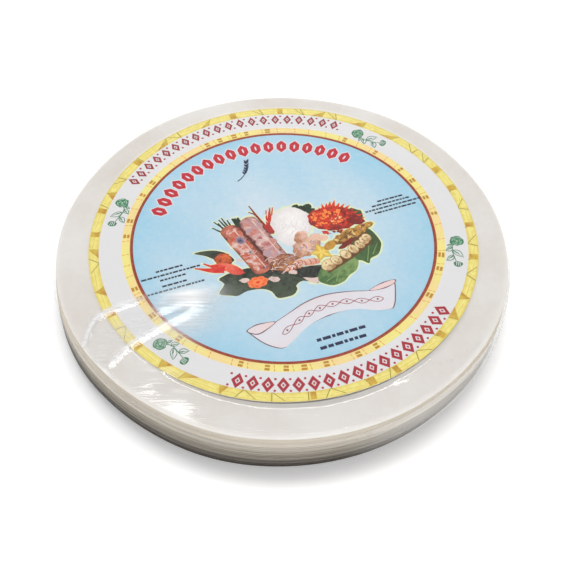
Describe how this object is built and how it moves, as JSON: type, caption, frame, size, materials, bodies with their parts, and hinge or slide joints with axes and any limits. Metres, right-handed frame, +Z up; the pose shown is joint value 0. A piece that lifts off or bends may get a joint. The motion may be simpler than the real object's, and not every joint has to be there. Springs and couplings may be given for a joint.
{
  "type": "rice paper wrapper stack",
  "caption": "Low round stack of dried rice-paper sheets, sealed in tight clear film with a printed paper disc on top.",
  "frame": {"origin": "middle of the pack's outline, on the flat underside", "axes": "+Z up through the pack's thickness; +Y away from the side that faces the viewer; +X to the right"},
  "size_m": [0.223, 0.222, 0.0253],
  "materials": {
    "rice_paper": "smooth, faintly mottled, slightly translucent",
    "label_paper": "printed in colour, satin",
    "clear_film": "clear, glossy, creased"
  },
  "bodies": {
    "root": {"wrapped_stack": "rice_paper", "label": "label_paper"}
  },
  "joints": []
}
